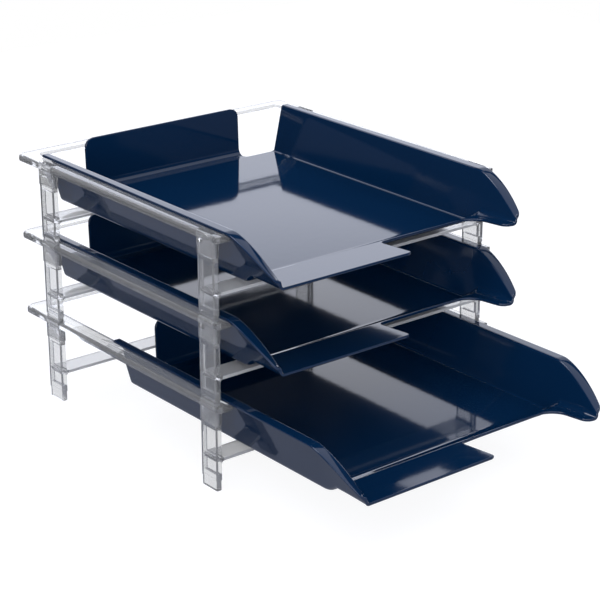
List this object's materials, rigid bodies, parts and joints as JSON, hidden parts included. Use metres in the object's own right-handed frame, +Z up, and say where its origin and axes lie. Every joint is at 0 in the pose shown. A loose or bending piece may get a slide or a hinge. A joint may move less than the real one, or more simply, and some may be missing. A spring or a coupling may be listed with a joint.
{
  "type": "letter tray",
  "caption": "Stacking letter tray: glossy navy trays with swept-down fronts, a finger notch and an upright back panel slide in clear frames that plug together.",
  "frame": {"origin": "on the floor plane under the middle of the overall box, with the bottom tray drawn out as at rest", "axes": "+X to the user's right, +Y from the front to the rear, +Z up"},
  "size_m": [0.28, 0.426, 0.2126],
  "materials": {
    "clear_frame": "clear, polished",
    "navy_tray": "high gloss"
  },
  "bodies": {
    "frame": {"rim_bottom": "clear_frame", "rim_middle": "clear_frame", "rim_top": "clear_frame", "front_upright_bottom": "clear_frame", "front_upright_middle": "clear_frame", "front_upright_top": "clear_frame", "rear_upright_bottom": "clear_frame", "rear_upright_middle": "clear_frame", "rear_upright_top": "clear_frame"},
    "tray_bottom": {"tray_bottom": "navy_tray"},
    "tray_middle": {"tray_middle": "navy_tray"},
    "tray_top": {"tray_top": "navy_tray"}
  },
  "joints": [
    {"name": "bottom_tray_slide", "type": "slide", "parent": "frame", "child": "tray_bottom", "axis": [0, -1, 0], "range_m": [-0.0965, 0.0085]},
    {"name": "middle_tray_slide", "type": "slide", "parent": "frame", "child": "tray_middle", "axis": [0, -1, 0], "range_m": [0, 0.105]},
    {"name": "top_tray_slide", "type": "slide", "parent": "frame", "child": "tray_top", "axis": [0, -1, 0], "range_m": [0, 0.105]}
  ]
}
